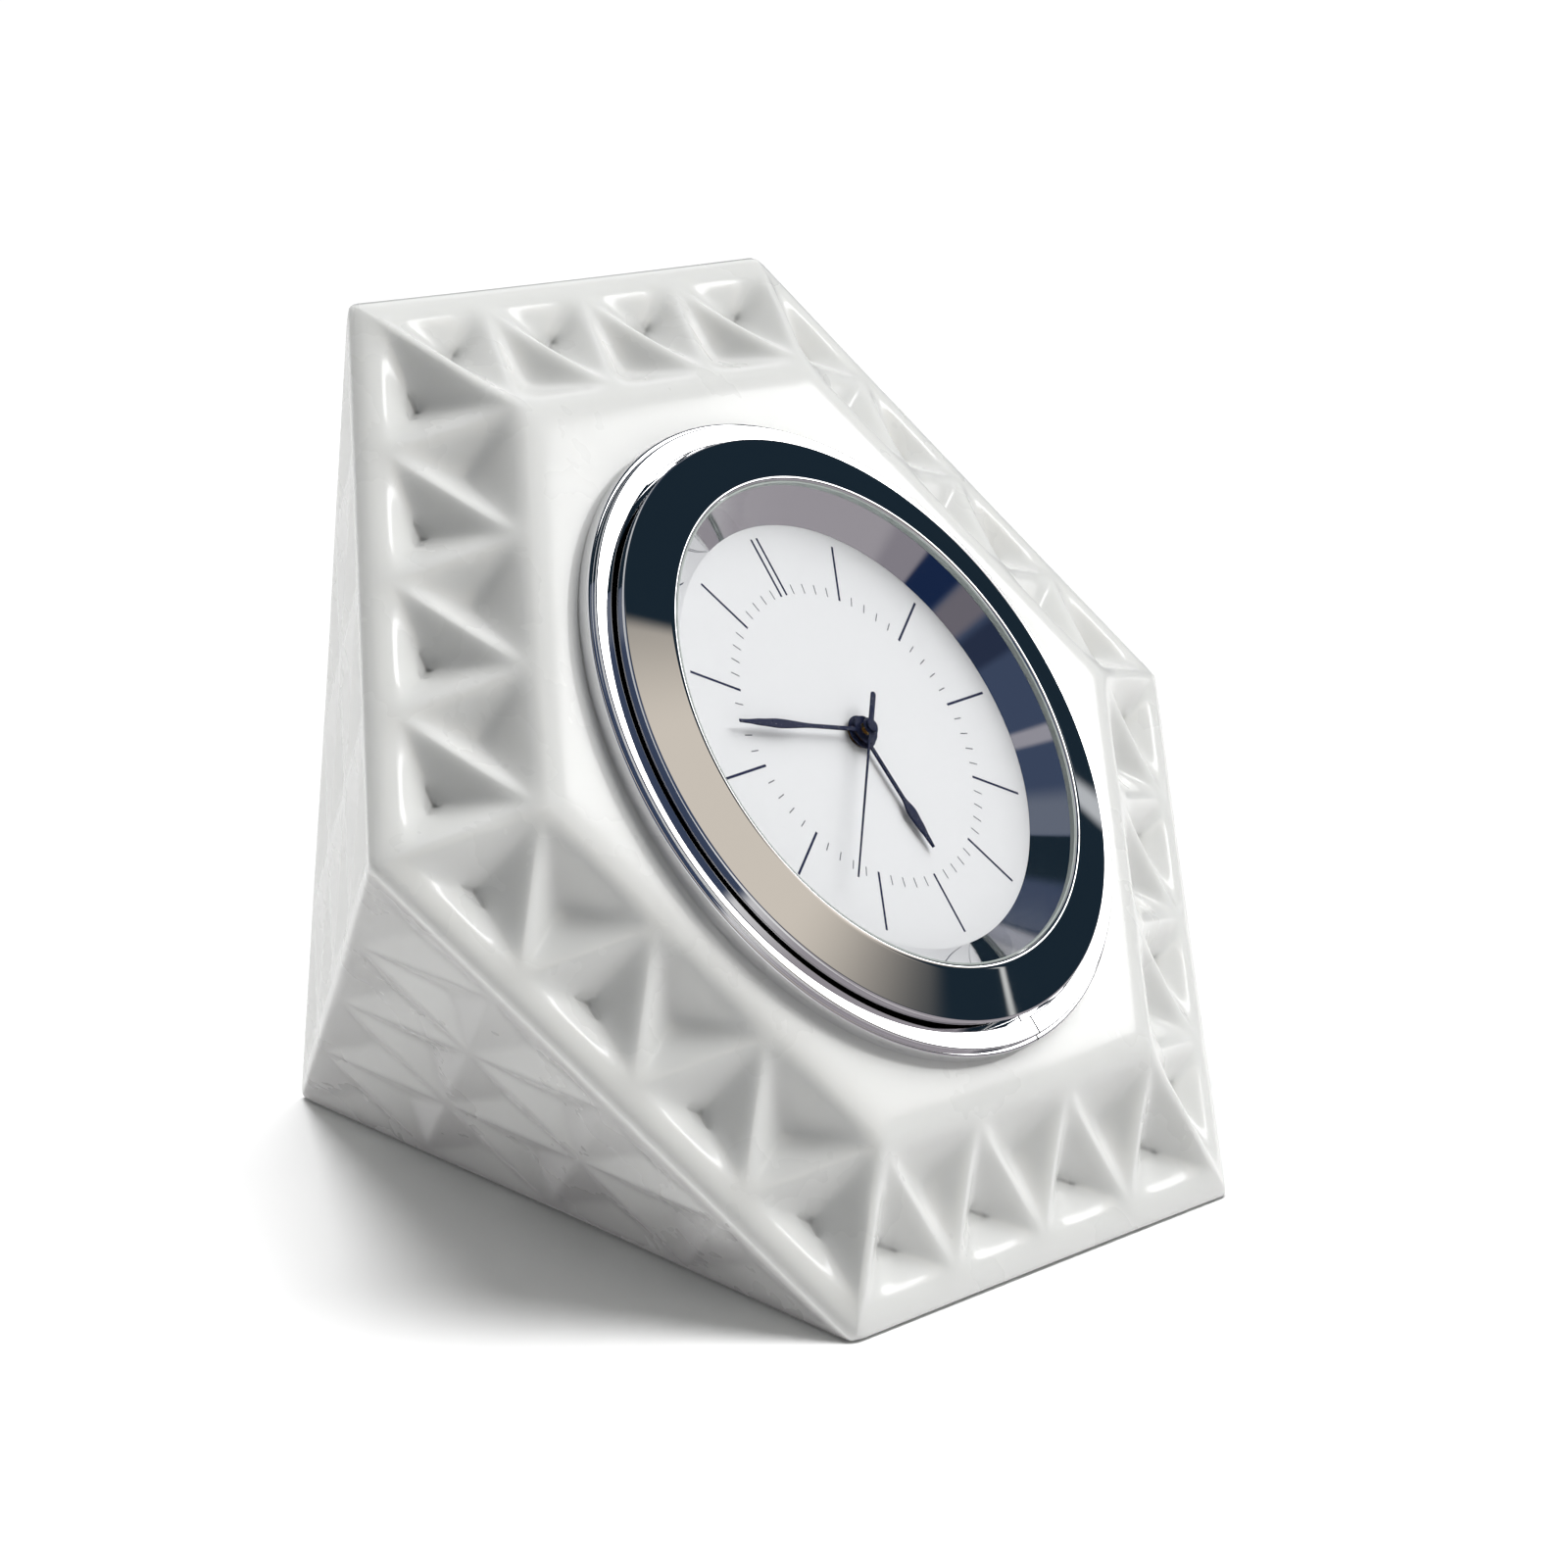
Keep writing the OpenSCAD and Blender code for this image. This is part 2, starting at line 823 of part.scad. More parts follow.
// Knurled thumb knob on the rear, on one arbor with the pinion that drives the minute wheel.
module setting_knob() {
    knob_r = 4.2;
    flutes = 18;
    knob_level = [cover_back - 4.0, cover_back - 0.4];
    color("black")
        on_insert()
            at(knob_at) {
                difference() {
                    rod(knob_level, knob_r);
                    for (i = [0:flutes - 1])
                        at(polar(knob_r + 0.15, i * 360 / flutes))
                            rod(grown(knob_level, 1), 0.4);
                }
                rod([knob_level[1] - 0.1, minute_level[0]], 0.8);
                gear(grown(minute_level, 0.05), knob_teeth, m_cannon, knob_turn);
                rod([minute_level[1], front_plate[1] - 0.2], 0.4);
            }
}

porcelain_body();
flange_ring();
bezel();
inner_bezel();
glass();
glass_gasket();
dial();
hour_hand();
minute_hand();
second_hand();
case_cup();
grip_ring();
movement_holder();
rear_cover();
rear_cover_screws();
battery_hatch();
setting_knob();
movement_front_plate();
train_bridge();
movement_back_case();
movement_screws();
hour_wheel();
cannon_pinion();
minute_wheel();
centre_wheel();
third_wheel();
second_wheel();
intermediate_wheel();
rotor();
stator();
coil_core();
coil_bobbin();
coil_winding();
circuit_board();
quartz_crystal();
chip_cover();
button_cell();
contact_negative();
contact_positive();
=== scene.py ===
"""Looks of the mantel clock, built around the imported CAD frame.

Shape values are in millimetres, as in the part's source, and are turned into metres on the way in.
"""

import json
import math

import bpy
import numpy as np
from mathutils import Matrix, Vector


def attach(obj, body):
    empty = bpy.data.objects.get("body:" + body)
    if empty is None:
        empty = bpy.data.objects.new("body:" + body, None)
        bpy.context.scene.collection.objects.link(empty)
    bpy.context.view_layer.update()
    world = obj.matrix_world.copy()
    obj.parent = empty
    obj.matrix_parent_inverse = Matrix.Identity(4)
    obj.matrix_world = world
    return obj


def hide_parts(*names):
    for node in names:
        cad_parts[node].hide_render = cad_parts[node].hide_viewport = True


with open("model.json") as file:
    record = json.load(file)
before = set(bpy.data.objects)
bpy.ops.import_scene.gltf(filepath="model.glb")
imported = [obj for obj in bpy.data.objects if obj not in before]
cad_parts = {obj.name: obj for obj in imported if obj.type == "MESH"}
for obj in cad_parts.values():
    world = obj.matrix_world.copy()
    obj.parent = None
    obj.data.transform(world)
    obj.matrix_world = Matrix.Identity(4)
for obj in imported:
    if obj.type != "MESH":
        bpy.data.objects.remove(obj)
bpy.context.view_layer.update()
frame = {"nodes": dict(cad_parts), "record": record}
MM = 0.001

# ---- Driving values, the same as in the part's source ----
BODY_R = 67.5
BODY_H = 85.8
FACE_R = 47.5
BEVEL_DEPTH = 6.7
WALL = 6.5
CAVITY_FRONT = -3.5
SOCKET_R = 31.5
INSERT_TURN = 3.1
INSERT_DROP = 0.8
DIAL_R = 24.45
DIAL_RISE = 1.5
SHOWN_HOURS = 5.793
SHOWN_SECONDS = 37.4
DIAL_Z = BEVEL_DEPTH + DIAL_RISE
BODY_INR = BODY_R * math.cos(math.radians(30))
LEAN = math.atan2(BODY_INR, BODY_H)
DEPTH = BODY_INR / math.sin(LEAN)


# ---- Frames ----
def from_face(points):
    """Points in millimetres in the face frame (+Z out of the dial) as metres in the row frame."""
    p = np.atleast_2d(np.asarray(points, float))
    up, out = BODY_INR + p[:, 1], p[:, 2]
    y = -DEPTH / 2 + math.sin(LEAN) * up - math.cos(LEAN) * out
    z = math.cos(LEAN) * up + math.sin(LEAN) * out
    return np.column_stack([p[:, 0], y, z]) * MM


def from_insert(points, clockwise=0.0):
    """Points in millimetres in the insert frame as metres in the row frame.

    They are first turned clockwise by that many degrees.
    """
    p = np.atleast_2d(np.asarray(points, float))
    turn = math.radians(INSERT_TURN - clockwise)
    x = p[:, 0] * math.cos(turn) - p[:, 1] * math.sin(turn)
    y = p[:, 0] * math.sin(turn) + p[:, 1] * math.cos(turn)
    return from_face(np.column_stack([x, y - INSERT_DROP, p[:, 2] + DIAL_Z]))


def add_piece(name, points, faces, material, body, slot, sharp_deg=35.0, replaces=()):
    """A mesh piece from row-frame points. Edges that turn by more than sharp_deg stay crisp."""
    mesh = bpy.data.meshes.new(name)
    mesh.from_pydata([tuple(p) for p in points], [], [tuple(f) for f in faces])
    mesh.validate()
    mesh.shade_smooth()
    if sharp_deg:
        mesh.set_sharp_from_angle(angle=math.radians(sharp_deg))
    mesh.materials.append(material)
    piece = bpy.data.objects.new(name, mesh)
    bpy.context.scene.collection.objects.link(piece)
    if replaces:
        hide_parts(*replaces)
    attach(piece, body)
    return piece


# ---- Materials ----
MIX_A, MIX_B = 6, 7                 # the colour inputs of a Mix node
MIX_RESULT = 2                      # and its colour output
NOISE_LOW, NOISE_HIGH = 0.3, 0.7    # a noise texture rarely goes past these
GLASS_ROUGH = 0.02
GRAZING_POWER = 8.0                 # how late, towards grazing angles, the glass starts to mirror


class Graph:
    """Short calls for building a node tree."""

    def __init__(self, tree):
        self.tree = tree
        tree.nodes.clear()

    def node(self, kind, settings=None, **inputs):
        made = self.tree.nodes.new(kind)
        for key, value in (settings or {}).items():
            setattr(made, key, value)
        for key, value in inputs.items():
            self.feed(made, key.replace("_", " "), value)
        return made

    def feed(self, made, key, value):
        socket = made.inputs[int(key)] if key.isdigit() else made.inputs[key]
        if isinstance(value, bpy.types.NodeSocket):
            self.tree.links.new(value, socket)
        else:
            socket.default_value = value

    def math(self, operation, *values, clamp=False):
        made = self.tree.nodes.new("ShaderNodeMath")
        made.operation = operation
        made.use_clamp = clamp
        for i, value in enumerate(values):
            self.feed(made, str(i), value)
        return made.outputs[0]


def shade(color, factor):
    return tuple(min(1.0, c * factor) for c in color[:3]) + (1.0,)


def new_material(name):
    material = bpy.data.materials.new(name)
    material.use_nodes = True
    return material, Graph(material.node_tree)


def surface(
    name, color, rough, metal=0.0, vary=0.05, grain=900.0, stretch=(1, 1, 1), rough_vary=0.25,
    bump=0.0, bump_grain=3000.0, settings=None,
):
    """A principled material whose colour and roughness drift with fine noise.

    The bump, a height in metres, adds a finer grain. Settings are further inputs of the shader.
    """
    material, g = new_material(name)
    place = g.node("ShaderNodeTexCoord").outputs["Object"]
    spread = g.node("ShaderNodeMapping", Vector=place, Scale=stretch).outputs[0]
    drift = g.node("ShaderNodeTexNoise", Vector=spread, Scale=grain, Detail=4.0, Roughness=0.55)
    noise = drift.outputs[0]
    mix = g.node("ShaderNodeMix", {"data_type": "RGBA"})
    g.feed(mix, "Factor", noise)
    mix.inputs[MIX_A].default_value = shade(color, 1 - vary)
    mix.inputs[MIX_B].default_value = shade(color, 1 + vary)
    roughness = g.node("ShaderNodeMapRange", Value=noise)
    roughness.inputs["From Min"].default_value = NOISE_LOW
    roughness.inputs["From Max"].default_value = NOISE_HIGH
    roughness.inputs["To Min"].default_value = rough * (1 - rough_vary)
    roughness.inputs["To Max"].default_value = rough * (1 + rough_vary)
    shader = g.node("ShaderNodeBsdfPrincipled", Metallic=metal)
    g.feed(shader, "Base Color", mix.outputs[MIX_RESULT])
    g.feed(shader, "Roughness", roughness.outputs[0])
    for key, value in (settings or {}).items():
        shader.inputs[key].default_value = value
    if bump:
        fine = g.node("ShaderNodeTexNoise", Vector=spread, Scale=bump_grain, Detail=3.0).outputs[0]
        relief = g.node("ShaderNodeBump", Height=fine, Distance=bump, Strength=1.0)
        g.feed(shader, "Normal", relief.outputs[0])
    output = g.node("ShaderNodeOutputMaterial")
    g.feed(output, "Surface", shader.outputs[0])
    return material


def thin_glass(name, tint, edge_mirror):
    """Clear coated glass that lets light straight through and mirrors only near grazing angles."""
    material, g = new_material(name)
    place = g.node("ShaderNodeTexCoord").outputs["Object"]
    smear = g.node("ShaderNodeTexNoise", Vector=place, Scale=60.0, Detail=2.0).outputs[0]
    rough = g.math("MULTIPLY", smear, GLASS_ROUGH)
    clear = g.node("ShaderNodeBsdfTransparent", Color=tint)
    mirror = g.node("ShaderNodeBsdfGlossy", Color=(1, 1, 1, 1), Roughness=rough)
    facing = g.node("ShaderNodeLayerWeight", Blend=0.5).outputs["Facing"]
    share = g.math("MULTIPLY", g.math("POWER", facing, GRAZING_POWER), edge_mirror)
    mixed = g.node("ShaderNodeMixShader")
    g.feed(mixed, "0", share)
    g.feed(mixed, "1", clear.outputs[0])
    g.feed(mixed, "2", mirror.outputs[0])
    output = g.node("ShaderNodeOutputMaterial")
    g.feed(output, "Surface", mixed.outputs[0])
    return material


SURFACES = {
    "glazed_porcelain": dict(
        color=(0.75, 0.755, 0.738), rough=0.3, vary=0.012, grain=60.0, bump=0.00001, bump_grain=240.0,
        settings={
            "Coat Weight": 0.7,
            "Coat Roughness": 0.08,
            "IOR": 1.45,
            "Subsurface Weight": 0.25,
            "Subsurface Radius": (0.003, 0.003, 0.0028),
            "Subsurface Scale": 1.0,
        },
    ),
    "polished_chrome": dict(
        color=(0.86, 0.86, 0.87), rough=0.035, metal=1.0, vary=0.01, grain=200.0, rough_vary=0.4,
    ),
    "clear_gasket": dict(
        color=(0.40, 0.44, 0.42), rough=0.4, vary=0.06, settings={"Specular IOR Level": 0.2},
    ),
    "dial_white": dict(
        color=(0.80, 0.80, 0.81), rough=0.42, vary=0.008, grain=1200.0, bump=0.000004,
        bump_grain=9000.0, settings={"Specular IOR Level": 0.25},
    ),
    "blued_hands": dict(
        color=(0.012, 0.016, 0.045), rough=0.34, vary=0.15, grain=1500.0,
        settings={"Specular IOR Level": 0.12},
    ),
    "case_black": dict(
        color=(0.028, 0.028, 0.031), rough=0.5, vary=0.12, grain=2500.0, bump=0.00003,
        bump_grain=2600.0,
    ),
    "grip_rubber": dict(color=(0.02, 0.02, 0.02), rough=0.75, vary=0.15, grain=2500.0, bump=0.00002),
    "movement_plastic": dict(
        color=(0.66, 0.61, 0.47), rough=0.45, vary=0.03, grain=1800.0, bump=0.00001,
    ),
    "wheel_brass": dict(
        color=(0.72, 0.49, 0.19), rough=0.26, metal=1.0, vary=0.06, stretch=(6, 1, 1),
    ),
    "wheel_plastic": dict(color=(0.80, 0.80, 0.76), rough=0.35, vary=0.03),
    "steel": dict(color=(0.55, 0.56, 0.58), rough=0.28, metal=1.0, vary=0.06, stretch=(1, 8, 8)),
    "magnet": dict(color=(0.07, 0.07, 0.08), rough=0.6, vary=0.15, grain=2500.0, bump=0.00002),
    "copper_wire": dict(
        color=(0.62, 0.22, 0.09), rough=0.3, metal=1.0, vary=0.10, stretch=(12, 1, 1),
    ),
    "bobbin_plastic": dict(color=(0.70, 0.26, 0.04), rough=0.45, vary=0.05),
    "board_green": dict(color=(0.02, 0.13, 0.05), rough=0.35, vary=0.10, grain=1500.0),
    "chip_black": dict(color=(0.012, 0.012, 0.013), rough=0.2, vary=0.15, grain=700.0),
    "dial_print": dict(
        color=(0.018, 0.022, 0.06), rough=0.45, vary=0.12, grain=2500.0,
        settings={"Specular IOR Level": 0.12},
    ),
    "tick_print": dict(
        color=(0.20, 0.20, 0.22), rough=0.5, vary=0.12, grain=2500.0,
        settings={"Specular IOR Level": 0.12},
    ),
}
MATERIALS = {name: surface(name, **values) for name, values in SURFACES.items()}
MATERIALS["dial_glass"] = thin_glass("dial_glass", tint=(0.988, 0.991, 0.992, 1), edge_mirror=0.4)

node_slot = {row["node"]: row["material_slot"] for row in frame["record"]["subparts"]}
for node, cad in frame["nodes"].items():
    cad.data.materials.clear()
    cad.data.materials.append(MATERIALS[node_slot[node]])

# ---- Porcelain body ----
SIDES = 6
WELD_STEPS = 997.0     # welding grid, in steps to the millimetre: points in one cell become one
WELD_SHIFT = 0.237     # keeps round coordinates away from the borders of its cells
CELL_SEG = 20          # mesh segments along one edge of a pit
STRIP_ROWS = 4         # mesh rows across each plain margin, and down the socket's wall
FRONT_ROWS = 12        # mesh rows across the plain front, and down the hollow
OUTER_PITS = 4         # pits based on an outer edge of the bevel
INNER_PITS = 3
BEVEL_PIT = 3.4
SIDE_PIT = 1.3
OUTER_MARGIN = 3.2
INNER_MARGIN = 1.5
CORNER_MARGIN = 0.7
SIDE_FRONT_MARGIN = 2.5
SIDE_EDGE_MARGIN = 1.2
RELIEF_BLUR = 1.45     # widths of the soft edges, see rounding()
SIDE_BLUR = 0.8
OUTER_BLUR = 1.0
INNER_BLUR = 0.9
CORNER_BLUR = 0.9
OUTER_REACH = 2.6      # how far from an edge its own width of blur counts
INNER_REACH = 1.6
CORNER_REACH = 1.4
PLAIN_RIM = 4.0        # ring of the front round the socket that isn't blurred
DEEPEST_RELIEF = 3.5   # points further than this below the sides belong to the hollow
LEAST_SQUARE = 1e-4    # shorter mesh edges, by their squared length, pull no harder
TIP_LOOP = 1e-9        # size of the loop that closes the hollow, which is then welded to one point


def hex_corner(s, r, z):
    """Corner s of a hexagon in the face frame, anticlockwise from the lower left."""
    angle = math.radians(240 + 60 * s)
    return np.array([r * math.cos(angle), r * math.sin(angle), z])


class Shell:
    """Gathers patches of points and faces, then welds points that lie in the same place."""

    def __init__(self):
        self.points, self.faces, self.count = [], [], 0

    def add(self, points, faces):
        self.points.append(np.asarray(points, float))
        self.faces.extend([tuple(i + self.count for i in f) for f in faces])
        self.count += len(points)

    def fan_rows(self, first, apex, rows):
        """A triangle from the edge first to the point apex, in rows of ever fewer points."""
        start, end = first
        points, faces, base = [], [], 0
        for j in range(rows + 1):
            t = j / rows
            n = rows - j
            for k in range(n + 1):
                edge = start + (end - start) * (k / n if n else 0.0)
                points.append(edge * (1 - t) + apex * t)
        for j in range(rows):
            n = rows - j
            above = base + n + 1
            for k in range(n):
                faces.append((base + k, base + k + 1, above + k))
                if k < n - 1:
                    faces.append((base + k + 1, above + k + 1, above + k))
            base = above
        self.add(points, faces)

    def pit(self, corners, depth):
        a, b, c = corners
        normal = np.cross(b - a, c - a)
        normal /= np.linalg.norm(normal)
        deepest = (a + b + c) / 3 - normal * depth
        for start, end in ((a, b), (b, c), (c, a)):
            self.fan_rows((start, end), deepest, CELL_SEG)

    def strip(self, outer, inner, rows):
        """Quads between two closed loops with as many points, both anticlockwise seen from outside."""
        n = len(outer)
        points = [outer + (inner - outer) * (j / rows) for j in range(rows + 1)]
        faces = []
        for j in range(rows):
            for k in range(n):
                k2 = (k + 1) % n
                faces.append((j * n + k, j * n + k2, (j + 1) * n + k2, (j + 1) * n + k))
        self.add(np.concatenate(points), faces)

    def welded(self):
        points = np.concatenate(self.points)
        keys = np.round(points * WELD_STEPS + WELD_SHIFT).astype(np.int64)
        _, first, place = np.unique(keys, axis=0, return_index=True, return_inverse=True)
        place = place.ravel()
        faces = []
        for f in self.faces:
            g = [int(place[i]) for i in f]
            kept = [g[i] for i in range(len(g)) if g[i] != g[i - 1]]
            if len(set(kept)) >= 3:
                faces.append(kept)
        return points[first], faces


def divided(corners, counts):
    """A closed loop through the corners, with that many equal segments on each side."""
    loop = []
    for i, n in enumerate(counts):
        a, b = corners[i], corners[(i + 1) % len(corners)]
        loop += [a + (b - a) * (k / n) for k in range(n)]
    return np.array(loop)


def bevel_band(shell, s):
    """One trapezoid of the front bevel: four pits based on the outer edge and three between them."""
    outer = [hex_corner(s, BODY_R, 0.0), hex_corner(s + 1, BODY_R, 0.0)]
    inner = [hex_corner(s + 1, FACE_R, BEVEL_DEPTH), hex_corner(s, FACE_R, BEVEL_DEPTH)]
    along = (outer[1] - outer[0]) / BODY_R
    slant = (inner[1] - outer[0]) - along * (BODY_R - FACE_R) / 2
    height = np.linalg.norm(slant)
    slant = slant / height
    lean_in = (BODY_R - FACE_R) / 2 / height

    def inset(v, right):
        u = lean_in * v + CORNER_MARGIN * math.hypot(1.0, lean_in)
        return outer[0] + slant * v + along * (BODY_R - u if right else u)

    low, high = OUTER_MARGIN, height - INNER_MARGIN
    field = [inset(low, False), inset(low, True), inset(high, True), inset(high, False)]
    n = CELL_SEG
    counts = (OUTER_PITS * n, n, INNER_PITS * n, n)
    shell.strip(divided(outer + inner, counts), divided(field, counts), STRIP_ROWS)
    base = [field[0] + (field[1] - field[0]) * (k / OUTER_PITS) for k in range(OUTER_PITS + 1)]
    top = [field[3] + (field[2] - field[3]) * (k / INNER_PITS) for k in range(INNER_PITS + 1)]
    for k in range(OUTER_PITS):
        shell.pit((base[k], base[k + 1], top[k]), BEVEL_PIT)
    for k in range(INNER_PITS):
        shell.pit((top[k + 1], top[k], base[k + 1]), BEVEL_PIT)


def side_face(shell, s):
    """One triangular side with its shallow pits, four along the front edge and one at the tip."""
    a, b = hex_corner(s + 1, BODY_R, 0.0), hex_corner(s, BODY_R, 0.0)
    tip = np.array([0.0, 0.0, -BODY_H])
    across = (b - a) / BODY_R
    rise = tip - (a + b) / 2
    height = np.linalg.norm(rise)
    rise = rise / height
    half = BODY_R / 2
    slope = math.hypot(half, height) / height

    def inset(v, side):
        reach = half * (1 - v / height) - SIDE_EDGE_MARGIN * slope
        return (a + b) / 2 + rise * v + across * (side * reach)

    apex_v = height * (1 - SIDE_EDGE_MARGIN * slope / half)
    field = [inset(SIDE_FRONT_MARGIN, -1), inset(SIDE_FRONT_MARGIN, 1), inset(apex_v, 0)]
    n = OUTER_PITS * CELL_SEG
    shell.strip(divided([a, b, tip], (n, n, n)), divided(field, (n, n, n)), STRIP_ROWS)

    def lattice(i, k):
        t = i / OUTER_PITS
        start = field[0] + (field[2] - field[0]) * t
        end = field[1] + (field[2] - field[1]) * t
        return start + (end - start) * (k / (OUTER_PITS - i) if i < OUTER_PITS else 0.0)

    for i in range(OUTER_PITS):
        for k in range(OUTER_PITS - i):
            shell.pit((lattice(i, k), lattice(i, k + 1), lattice(i + 1, k)), SIDE_PIT)
    for i in range(OUTER_PITS - 1):
        for k in range(OUTER_PITS - 1 - i):
            shell.pit((lattice(i + 1, k + 1), lattice(i + 1, k), lattice(i, k + 1)), SIDE_PIT)


def socket_loop(r, z, toward):
    """A circle round the socket's axis, with a point in the direction of each point of toward."""
    away = toward[:, :2] - np.array([0.0, -INSERT_DROP])
    away = away / np.linalg.norm(away, axis=1)[:, None]
    return np.column_stack([away * r + np.array([0.0, -INSERT_DROP]), np.full(len(away), z)])


def porcelain_shell():
    shell = Shell()
    for s in range(SIDES):
        bevel_band(shell, s)
    for s in range(1, SIDES):
        side_face(shell, s)
    tip = np.array([0.0, 0.0, -BODY_H])
    corners = (hex_corner(1, BODY_R, 0.0), hex_corner(0, BODY_R, 0.0))
    shell.fan_rows(corners, tip, OUTER_PITS * CELL_SEG)
    per_side = INNER_PITS * CELL_SEG
    rim = divided([hex_corner(s, FACE_R, BEVEL_DEPTH) for s in range(SIDES)], (per_side,) * SIDES)
    mouth = socket_loop(SOCKET_R, BEVEL_DEPTH, rim)
    shell.strip(rim, mouth, FRONT_ROWS)
    throat = socket_loop(SOCKET_R, CAVITY_FRONT, rim)
    shell.strip(mouth, throat, STRIP_ROWS)
    # The hollow behind the socket follows the six sides, one wall thickness inside them.
    wall_inset = WALL / math.cos(LEAN)
    hollow_inr = BODY_INR * (1 + CAVITY_FRONT / BODY_H) - wall_inset
    hollow_r = hollow_inr / math.cos(math.radians(30))
    hollow_tip = np.array([0.0, 0.0, -BODY_H * (1 - wall_inset / BODY_INR)])
    hollow_corners = [hex_corner(s, hollow_r, CAVITY_FRONT) for s in range(SIDES)]
    hollow = divided(hollow_corners, (per_side,) * SIDES)
    shell.strip(throat, hollow, STRIP_ROWS)
    shell.strip(hollow, hollow_tip + (hollow - hollow_tip) * TIP_LOOP, FRONT_ROWS)
    return shell.welded()


def distance_to(points, a, b):
    along = b - a
    t = np.clip((points - a) @ along / (along @ along), 0, 1)
    return np.linalg.norm(points - a - t[:, None] * along, axis=1)


def rounding(points):
    """How far, in millimetres, the shape is blurred at each point: the soft edges of porcelain."""
    outer = [hex_corner(s, BODY_R, 0.0) for s in range(SIDES)]
    inner = [hex_corner(s, FACE_R, BEVEL_DEPTH) for s in range(SIDES)]
    tip = np.array([0.0, 0.0, -BODY_H])
    blur = np.where(points[:, 2] > 0, RELIEF_BLUR, SIDE_BLUR)
    for s in range(SIDES):
        following = (s + 1) % SIDES
        for a, b, most, reach in (
            (outer[s], outer[following], OUTER_BLUR, OUTER_REACH),
            (inner[s], inner[following], INNER_BLUR, INNER_REACH),
            (outer[s], inner[s], CORNER_BLUR, CORNER_REACH),
            (outer[s], tip, CORNER_BLUR, CORNER_REACH),
        ):
            near = np.exp(-((distance_to(points, a, b) / reach) ** 2))
            blur = blur + (most - blur) * near
    from_axis = np.hypot(points[:, 0], points[:, 1] + INSERT_DROP)
    plain_front = (from_axis < SOCKET_R + PLAIN_RIM) & (points[:, 2] > CAVITY_FRONT - 0.5)
    blur[plain_front | porcelain_inside(points)] = 0.0
    return blur


def porcelain_inside(points):
    """Which points belong to the socket or the hollow rather than the outer surface."""
    height = np.clip(1 + points[:, 2] / BODY_H, 0, 1)
    room = BODY_INR * height
    reach = np.full(len(points), -np.inf)
    for s in range(SIDES):
        angle = math.radians(270 + 60 * s)
        reach = np.maximum(reach, points[:, 0] * math.cos(angle) + points[:, 1] * math.sin(angle))
    return (points[:, 2] < 0) & (room - reach > DEEPEST_RELIEF)


def point_normals(points, triangles):
    """Unit normals at the points, from the triangles around them."""
    a, b, c = (points[triangles[:, k]] for k in range(3))
    across = np.cross(b - a, c - a)
    normals = np.zeros_like(points)
    for corner in range(3):
        for k in range(3):
            normals[:, k] += np.bincount(triangles[:, corner], across[:, k], len(points))
    return normals / np.linalg.norm(normals, axis=1)[:, None]


def smoothed(points, faces, blur, passes=100, most=0.6, renew=10):
    """Blurs the shape by the given width at each point, whatever the size of the mesh cells there.

    Points move along their normals only, so that the mesh doesn't gather where its cells are small.
    """
    edges = set()
    for f in faces:
        for i in range(len(f)):
            edges.add((f[i - 1], f[i]) if f[i - 1] < f[i] else (f[i], f[i - 1]))
    a, b = np.array(sorted(edges)).T
    triangles = np.array([(f[0], f[i], f[i + 1]) for f in faces for i in range(1, len(f) - 1)])
    n = len(points)
    pull = 1 / np.maximum(((points[a] - points[b]) ** 2).sum(axis=1), LEAST_SQUARE)
    total = np.bincount(a, pull, n) + np.bincount(b, pull, n)
    degree = np.bincount(a, minlength=n) + np.bincount(b, minlength=n)
    share = np.clip(blur**2 * 2 * total / degree / passes, 0, most)
    moved = points.copy()
    for step in range(passes):
        if step % renew == 0:
            normals = point_normals(moved, triangles)
        mean = np.column_stack([
            np.bincount(a, pull * moved[b, k], n) + np.bincount(b, pull * moved[a, k], n)
            for k in range(3)
        ]) / total[:, None]
        rise = ((mean - moved) * normals).sum(axis=1)
        moved += (share * rise)[:, None] * normals
    return moved


shell_points, shell_faces = porcelain_shell()
shell_points = smoothed(shell_points, shell_faces, rounding(shell_points))
add_piece(
    "porcelain_shell", from_face(shell_points), shell_faces, MATERIALS["glazed_porcelain"],
    "porcelain", "glazed_porcelain", sharp_deg=80.0, replaces=("porcelain_body",),
)

# ---- Turned pieces of the insert ----
LATHE_SEG = 240
HUB_SEG = 72


def arc(cx, cy, r, start, end, steps=8):
    """Points on an arc, with angles in degrees."""
    angles = [math.radians(start + (end - start) * i / steps) for i in range(steps + 1)]
    return [(cx + r * math.cos(a), cy + r * math.sin(a)) for a in angles]


def held(profile, near=0.03):
    """The profile with a point close to each end of every long stretch, so that flats shade flat."""
    points = []
    for i, (r0, z0) in enumerate(profile):
        r1, z1 = profile[(i + 1) % len(profile)]
        length = math.hypot(r1 - r0, z1 - z0)
        points.append((r0, z0))
        if length > 8 * near:
            for t in (near / length, 1 - near / length):
                points.append((r0 + (r1 - r0) * t, z0 + (z1 - z0) * t))
    return points


